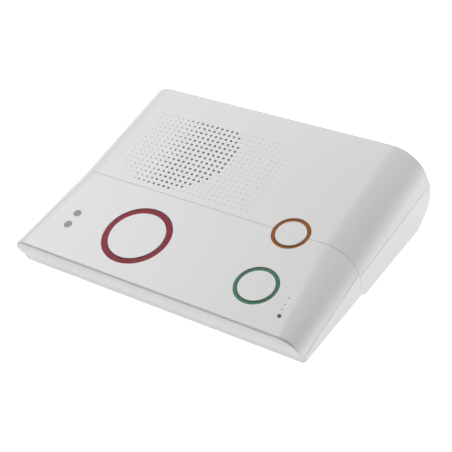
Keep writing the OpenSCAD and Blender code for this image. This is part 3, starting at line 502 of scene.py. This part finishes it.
undercut = math.radians(housing["frontRake"] - housing["slope"])
frontDrop = housing["frontEdge"] - housing["frontPart"][0]
partY = -depth / 2 + frontDrop * math.tan(math.radians(housing["frontRake"]))
partings = {
    "front": partingLine(*housing["frontPart"], partY),
    "rear": partingLine(*housing["rearPart"], depth / 2),
}
flareDrop = rearEdgeZ - housing["rearPart"][0] - housing["land"]
flareTurn = math.atan(housing["flare"] / flareDrop) - math.radians(housing["slope"])
flareRadius = math.hypot(housing["flare"], flareDrop) / (2 * math.sin(flareTurn))


# where the front face, a little bulged, cuts a line along the housing at height w, and its outward normal
def frontCut(w):
    low, bulge = partings["front"][0], housing["frontBulge"]
    t = w / low
    fall = 4 * bulge * (1 - 2 * t) / low
    normal = Vector((0, -1, -math.tan(undercut) - fall)).normalized()
    return -w * math.tan(undercut) - 4 * bulge * t * (1 - t), normal


# the same for the rear face: flared in an arc, then upright
def rearCut(w):
    v = housing["topLength"] + flareRadius - math.sqrt(flareRadius ** 2 - w * w)
    wall = (depth + w * sinTop) / cosTop
    if v > wall:
        return wall, Vector((0, cosTop, -sinTop))
    return v, Vector((0, housing["topLength"] + flareRadius - v, -w)) / flareRadius


# the rolled edge between the skin and an end face, at step k of count
def rolled(q, side, cut, inward, radius, k, count, rounding):
    v = 0
    for _ in range(6):
        u, w, n = sideAt(q, side, v, rounding)
        v, face = cut(w)
    p, a = Vector((u, v, w)), Vector((0, inward, 0))
    b = (face * n.dot(face) - n).normalized()
    opening = a.angle(b)
    centre = p + (a + b).normalized() * radius / math.sin(opening / 2)
    turn, full = k / count, math.pi - opening
    way = (n * math.sin((1 - turn) * full) + face * math.sin(turn * full)) / math.sin(full)
    return centre + way * radius, way


# one row round a side from the flat to just above the parting plane, which is found by halving
def sideRow(spot, parting, lift, count=18):
    start, grade = parting
    low, high = 30.0, 115.0
    for _ in range(40):
        q = (low + high) / 2
        p = spot(q)[0]
        if p[2] > start + grade * p[1] + lift:
            low = q
        else:
            high = q
    fixed = [0, 5, 10, 15]
    last = fixed[-1]
    return [spot(q) for q in fixed + [last + (low - last) * (i + 1) / count for i in range(count)]]


# both sides, the end face and all edges of a cover; gives the rows of each side
def cover(skin, parting, ends, seamSide, roundOver, rounding, steps=8, spans=8):
    edge, partEdge = housing["edgeRound"], housing["partRound"]
    lift = partEdge + housing["partGap"]
    cut, seamEdge = ends
    down = -Vector((0, -parting[1], 1)).normalized()
    sides = {}
    for side in (-1, 1):
        def edgeSpot(k, side=side):
            return lambda q: rolled(q, side, cut, seamSide, roundOver, k, steps, rounding)

        def along(t, side=side):
            def spot(q):
                first = edgeSpot(0)(q)
                if t == 0:
                    return first
                v = first[0][1] + (seamEdge - first[0][1]) * t
                u, w, n = sideAt(q, side, v, rounding)
                return Vector((u, v, w)), n
            return spot
        rolledRows = [sideRow(edgeSpot(k), parting, lift) for k in range(steps + 1)]
        columns = [sideRow(along(t / spans), parting, lift) for t in range(spans + 1)]
        sides[side] = (rolledRows, columns)
        skin.grid(columns)
    # rolled edge and end face, right across
    skin.grid([list(reversed(sides[-1][0][k])) + sides[1][0][k] for k in range(steps + 1)])
    left, right = sides[-1][0][-1], sides[1][0][-1]
    for i in range(len(left) - 1):
        four = (left[i], right[i], right[i + 1], left[i + 1])
        skin.face([f[0] for f in four], [cut(f[0][2])[1] for f in four])
    # edge along the parting line, all the way round
    path = [(c[-1][0], c[-1][1], down) for c in reversed(sides[-1][1])]
    path += [(row[-1][0], row[-1][1], down) for row in sides[-1][0][1:]]
    path += [(row[-1][0], row[-1][1], down) for row in reversed(sides[1][0])]
    path += [(c[-1][0], c[-1][1], down) for c in sides[1][1][1:]]
    skin.rim(path, partEdge, housing["wall"])
    # edge down the seam on both sides
    for side in (-1, 1):
        skin.rim([(p, n, (0, seamSide, 0)) for p, n in sides[side][1][-1]], edge, housing["wall"])
    return sides


rings = {
    "help": {"at": (-24.7, 30.6), "radius": 20.7, "width": 3.5},
    "green": {"at": (58, 25.2), "radius": 12.45, "width": 1.95},
    "orange": {"at": (56.8, 64), "radius": 11, "width": 1.95},
}
# the other openings of the front cover: radii, and how far each lip is rolled
small = {
    "ringLip": 0.3,
    "windows": [(-69.2, 22.5), (-69.2, 31.8)], "windowRadius": 2.4, "windowLip": 0.2,
    "microphone": (79.4, 12.3), "microphoneRadius": 1.2, "microphoneLip": 0.12,
    "pinholes": [(78.7, 16.5), (78.5, 19.9), (78.3, 24.3)], "pinholeRadius": 0.45, "pinholeLip": 0.2,
    "pinholeDepth": 0.35,
}
# holes over the speaker, inside the field round its centre, and blind dimples beside it
grille = {
    "columns": 27, "rows": 16, "pitch": 3.6, "left": -68.4, "rear": 122.9, "centre": (-41.4, 101.3),
    "field": 36.02, "hole": 0.8, "smallHole": 0.26, "smallColumns": 3, "growColumns": 6, "inset": 0.1,
    "dimpleDepth": 0.13, "lip": 0.15,
}


# the seam's edge on the flat, broken by the orange ring; gives the field's outline along it, left to right
def seamEdgeAcross(skin, v, seamSide, halfFlat):
    ring, edge = rings["orange"], housing["edgeRound"]
    cx, cy = ring["at"]
    out = ring["radius"] + housing["ringGap"] + edge
    half = math.sqrt(out ** 2 - (v - cy) ** 2)
    first = math.atan2(v - cy, -half)
    last = math.atan2(v - cy, half)
    if seamSide > 0:      # front cover: the notch runs under the ring's centre
        first, last = first + (2 * math.pi if first < 0 else 0), last + 2 * math.pi
    spans = 40
    turns = [first + (last - first) * i / spans for i in range(spans + 1)]
    notch = [(cx + out * math.cos(a), cy + out * math.sin(a)) for a in turns]
    up, past = (0, 0, 1), (0, seamSide, 0)
    straight = [(-halfFlat, notch[0][0]), (notch[-1][0], halfFlat)]
    bend = [((x, y, 0), up, (-math.cos(a), -math.sin(a), 0)) for (x, y), a in zip(notch, turns)]
    left, right = ([((x, v, 0), up, past) for x in pair] for pair in straight)
    for path in (left, bend, right):
        skin.rim(path, edge, housing["wall"])
    return notch


# outline of a cover's flat: up the left side, along the seam and its notch, down the right side
def flatOutline(skin, sides, v, seamSide):
    notch = seamEdgeAcross(skin, v, seamSide, sides[1][1][-1][0][0][0])
    left, right = ([c[0][0].xy for c in sides[side][1]] for side in (-1, 1))
    return left + notch + list(reversed(right))


def frontCover():
    skin = Skin()
    v = housing["seam"] - housing["seamGap"] / 2 - housing["edgeRound"]
    sides = cover(skin, partings["front"], (frontCut, v), 1, housing["creaseRound"], rounds["front"])
    outline = flatOutline(skin, sides, v, 1)
    deep = housing["wall"]
    gap = housing["ringGap"]
    holes = [skin.hole(rings[n]["at"], rings[n]["radius"] + gap, small["ringLip"], deep, ringCount)
             for n in ("help", "green")]
    holes += [skin.hole(at, small["windowRadius"], small["windowLip"], deep, smallCount)
              for at in small["windows"]]
    holes += [skin.hole(small["microphone"], small["microphoneRadius"], small["microphoneLip"], deep * 2,
                        smallCount)]
    holes += [skin.hole(at, small["pinholeRadius"], small["pinholeLip"], small["pinholeDepth"], pinCount,
                        True) for at in small["pinholes"]]
    skin.field(outline, holes)
    return skin.build("frontCoverShell", finishes["front"], "console", ["front_cover"])


def rearCover():
    skin = Skin()
    v = housing["seam"] + housing["seamGap"] / 2 + housing["edgeRound"]
    sides = cover(skin, partings["rear"], (rearCut, v), -1, housing["rearRound"], rounds["rear"])
    outline = flatOutline(skin, sides, v, -1)
    holes = []
    for i in range(grille["columns"]):
        grown = min(1, max(0, (i - grille["smallColumns"]) / grille["growColumns"]))
        radius = grille["smallHole"] + (grille["hole"] - grille["smallHole"]) * grown
        for j in range(grille["rows"]):
            at = (grille["left"] + i * grille["pitch"], grille["rear"] - j * grille["pitch"])
            blind = math.dist(at, grille["centre"]) > grille["field"]
            size, down = radius, housing["wall"]
            if blind:
                size, down = radius - grille["inset"], grille["dimpleDepth"]
            holes.append(skin.hole(at, size, grille["lip"], down, grilleCount, blind))
    skin.field(outline, holes)
    return skin.build("rearCoverShell", finishes["rear"], "console", ["rear_cover"])


frontCover()
rearCover()

# lower half of the housing, in millimetres and degrees: its profile from the front strip to the rear face
lowerCase = {
    "frontClear": 4.0, "rearClear": 1.2, "stripRake": 16, "stepFoot": -4.28, "stepRun": 3.6,
    "tailRound": 12, "tailRamp": 31, "tailRise": 3.8, "top": 60,
    "corner": 2.5, "rearCorner": 0.7, "edge": 0.25, "proud": 0.02, "sharp": 36,
    "toeSteps": 6, "tailSteps": 12, "cornerSteps": 6,
}


# the profile as (point, outward normal, how round the corner to the side is)
def caseProfile():
    form = lowerCase
    clear, low, big = form["frontClear"], form["rearClear"], form["corner"]
    rake, ramp = math.radians(form["stripRake"]), math.radians(form["tailRamp"])
    stripFoot = partY + (housing["frontPart"][0] - clear) * math.tan(rake)
    rise = form["top"] - clear
    strip, under = Vector((-math.cos(rake), -math.sin(rake))), Vector((0, -1))
    half = (math.pi / 2 - rake) / 2
    centre = Vector((stripFoot + big * math.tan(half), clear + big))
    spots = [(Vector((stripFoot - rise * math.tan(rake), form["top"])), strip, big)]
    for k in range(form["toeSteps"] + 1):
        way = between(strip, under, k / form["toeSteps"])
        spots.append((centre + way * big, way, big))
    step = math.atan2(clear - low, form["stepRun"])
    bevel = Vector((-math.sin(step), -math.cos(step)))
    spots.append((Vector((form["stepFoot"] - form["stepRun"], clear)), under + bevel, big))
    spots.append((Vector((form["stepFoot"], low)), under + bevel, big))
    turn = form["tailRound"]
    hub = Vector((depth / 2 - turn, low + turn + form["tailRise"]))
    touch = hub + turn * Vector((math.sin(ramp), -math.cos(ramp)))
    foot = Vector((touch.x - (touch.y - low) / math.tan(ramp), low))
    spots.append((foot, under + Vector((math.sin(ramp), -math.cos(ramp))), big))
    for k in range(form["tailSteps"] + 1):
        share = k / form["tailSteps"]
        a = ramp + (math.pi / 2 - ramp) * share
        way = Vector((math.sin(a), -math.cos(a)))
        spots.append((hub + turn * way, way, big + (form["rearCorner"] - big) * share))
    spots.append((Vector((depth / 2, form["top"])), Vector((1, 0)), form["rearCorner"]))
    return spots


# a block with that profile whose corners to the sides are rounded; the case is cut to it
def roundedBlock():
    form, half = lowerCase, housing["width"] / 2
    skin, rows = Skin(), []
    for p, n, corner in caseProfile():
        n = n.normalized()
        row = []
        for side in (-1, 1):
            arc = []
            for c, s in quarter(form["cornerSteps"]):
                q = p - n * (corner * (1 - c) - form["proud"])
                arc.append((side * (half + form["proud"] - corner * (1 - s)), q.x, q.y))
            row += reversed(arc) if side < 0 else arc
        rows.append([(spot, (0, n.x, n.y)) for spot in row])
    skin.grid(rows)
    for column, side in ((0, -1), (-1, 1)):
        skin.face([row[column][0] for row in rows], [(side, 0, 0)] * len(rows))
    loop = [spot for spot, _ in rows[0]] + [spot for spot, _ in reversed(rows[-1])]
    skin.face(loop, [(0, 0, 1)] * len(loop))
    mesh = bpy.data.meshes.new("roundedBlock")
    mesh.from_pydata([p * mm for p in skin.points], [], skin.faces)
    block = bpy.data.objects.new("roundedBlock", mesh)
    bpy.context.collection.objects.link(block)
    return block


# a copy of the case, its edges softened, cut to that block
def lowerShell():
    block = roundedBlock()
    shell = bpy.data.objects.new("bottomCaseShell", nodes["bottom_case"].data.copy())
    bpy.context.collection.objects.link(shell)
    softened(shell, lowerCase["edge"], lowerCase["sharp"])
    cut = shell.modifiers.new("corners", "BOOLEAN")
    cut.operation, cut.solver, cut.object = "INTERSECT", "EXACT", block
    made = bpy.data.meshes.new_from_object(shell.evaluated_get(bpy.context.evaluated_depsgraph_get()))
    shell.modifiers.clear()
    shell.data = made
    bpy.data.objects.remove(block)
    work = bmesh.new()
    work.from_mesh(made)
    bmesh.ops.remove_doubles(work, verts=work.verts, dist=weldWithin)
    bmesh.ops.dissolve_degenerate(work, dist=weldWithin / 2, edges=work.edges)
    sharp = math.radians(lowerCase["sharp"])
    for face in work.faces:
        face.smooth = True
    for edge in work.edges:
        edge.smooth = len(edge.link_faces) == 2 and edge.calc_face_angle() < sharp
    work.to_mesh(made)
    work.free()
    made.materials.clear()
    made.materials.append(finishes["case"])
    evened = shell.modifiers.new("evened", "WEIGHTED_NORMAL")
    evened.keep_sharp, evened.weight = True, 100
    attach(shell, "console")
    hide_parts("bottom_case")
    print("bottomCaseShell", len(made.polygons), "faces")


lowerShell()

# the three buttons: depths from the top face, and the roundings of their edges
button = {
    "recess": 0.5, "base": 4, "flange": 1.6, "gap": 0.2, "cap": 2, "capWall": 1.5, "catch": 0.9,
    "catchWidth": 1, "drop": 0.3, "stem": 2.5, "stemEnd": 5.6, "lip": 0.35, "catchLip": 0.1,
    "guideFoot": 0.1, "guideInner": 0.25, "guideOuter": 0.15,
}
bodies = {"help": "help_key", "green": "green_key", "orange": "orange_key"}


# a light guide ring, and the cap that moves inside it
def ringAndCap(name, colour):
    ring = rings[name]
    outer, inner = ring["radius"], ring["radius"] - ring["width"]
    top, base, wall = -button["recess"], -button["base"], -housing["wall"]
    wide = outer + button["flange"]
    outline = [(inner, base, button["guideFoot"]), (inner, top, button["guideInner"]),
               (outer, top, button["guideOuter"]), (outer, wall), (wide, wall), (wide, base), (inner, base)]
    turnedPiece(name + "Guide", ring["at"], outline, finishes[colour], "console",
                [name + "_ring"])
    r, wide = inner - button["gap"], inner + button["catchWidth"]
    catch = base - button["drop"]
    foot, hollow = catch - button["catch"], r - button["capWall"]
    stem, under, end = button["stem"], -button["cap"], -button["stemEnd"]
    outline = [(0, 0), (r, 0, button["lip"]), (r, catch), (wide, catch, button["catchLip"]), (wide, foot),
               (hollow, foot), (hollow, under), (stem, under), (stem, end), (0, end)]
    turnedPiece(name + "Cap", ring["at"], outline, finishes["front"], bodies[name],
                [name + "_button"])


for name, colour in (("help", "red"), ("green", "green"), ("orange", "orange")):
    ringAndCap(name, colour)

# distances in metres
studio = {
    "floorHalf": 4, "floorGlow": 1.02, "floorTones": ((0.28, 0.28, 0.28), (0.3, 0.3, 0.3)), "sky": 0.0,
    "aim": (0, 0, 0.03), "distance": 1.5,
    "lamps": {      # direction across and up in degrees, size in metres, power
        "left": (180, 50, 0.9, 16.7),
        "rearLeft": (135, 50, 0.9, 5.1),
        "rear": (90, 20, 0.9, 5.8),
        "rearRight": (45, 50, 0.9, 5.7),
        "rearRightLow": (45, 20, 0.9, 6.5),
    },
}
s = Shader("paleFloor")
floorTone = s.mix(s.noise(2, 2).smooth(0.3, 0.7), *studio["floorTones"])
floorMaterial = s.finish(Base_Color=floorTone, Roughness=0.9, Emission_Color=(1, 1, 1),
                         Emission_Strength=studio["floorGlow"])
half = studio["floorHalf"]
mesh = bpy.data.meshes.new("floor")
corners = [(-half, -half, 0), (half, -half, 0), (half, half, 0), (-half, half, 0)]
mesh.from_pydata(corners, [], [(0, 1, 2, 3)])
mesh.materials.append(floorMaterial)
floor = bpy.data.objects.new("floor", mesh)
bpy.context.collection.objects.link(floor)

aim = Vector(studio["aim"])
for name, (across, upward, size, power) in studio["lamps"].items():
    across, upward = math.radians(across), math.radians(upward)
    away = math.cos(upward)
    way = Vector((away * math.cos(across), away * math.sin(across), math.sin(upward)))
    data = bpy.data.lights.new(name, "AREA")
    data.size = size
    data.energy = power
    lamp = bpy.data.objects.new(name, data)
    lamp.location = way * studio["distance"] + aim
    lamp.rotation_euler = (-way).to_track_quat("-Z", "Y").to_euler()
    bpy.context.collection.objects.link(lamp)
world = bpy.data.worlds.new("studio")
world.use_nodes = True
background = world.node_tree.nodes["Background"]
background.inputs[0].default_value = (1, 1, 1, 1)
background.inputs[1].default_value = studio["sky"]
bpy.context.scene.world = world
bpy.context.scene.view_settings.view_transform = "Standard"
print("floor and lights placed")
